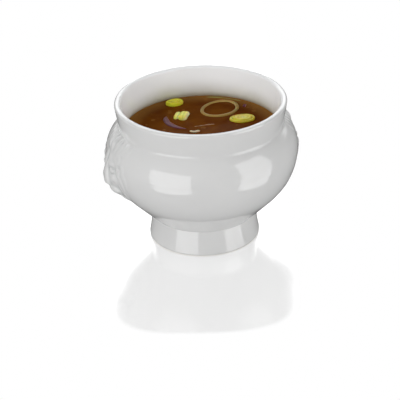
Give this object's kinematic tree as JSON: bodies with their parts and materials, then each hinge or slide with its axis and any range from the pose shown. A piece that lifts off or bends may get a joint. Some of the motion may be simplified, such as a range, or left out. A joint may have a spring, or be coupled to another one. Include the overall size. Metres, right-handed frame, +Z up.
{
  "type": "onion soup crock",
  "caption": "White glazed soup crock on a pedestal foot, with lion-head lugs at its sides and a belly below a flared collar, holding brown broth with floating onion and leek.",
  "frame": {"origin": "centre of the ring that the foot stands on", "axes": "+Z up out of the bowl's mouth, X through the two lion heads"},
  "size_m": [0.1298, 0.1206, 0.0927],
  "materials": {
    "white_glaze": "gloss",
    "broth": "gloss",
    "onion": "satin",
    "red_onion": "satin",
    "leek": "satin"
  },
  "bodies": {
    "crock": {"bowl_body": "white_glaze", "pedestal_foot": "white_glaze", "lion_head_left": "white_glaze", "lion_head_right": "white_glaze"},
    "soup": {"broth": "broth", "onion_ring": "onion", "onion_strip": "onion", "onion_bit": "onion", "red_onion_slice": "red_onion", "onion_fleck": "red_onion", "leek_chunk": "leek", "leek_slice_side": "leek", "leek_slice_back": "leek", "leek_shred": "leek"}
  },
  "joints": [
    {"name": "soup_swirl", "type": "hinge", "parent": "crock", "child": "soup", "pos_m": [0, 0, 0.05], "axis": [0, 0, 1], "continuous": true}
  ]
}
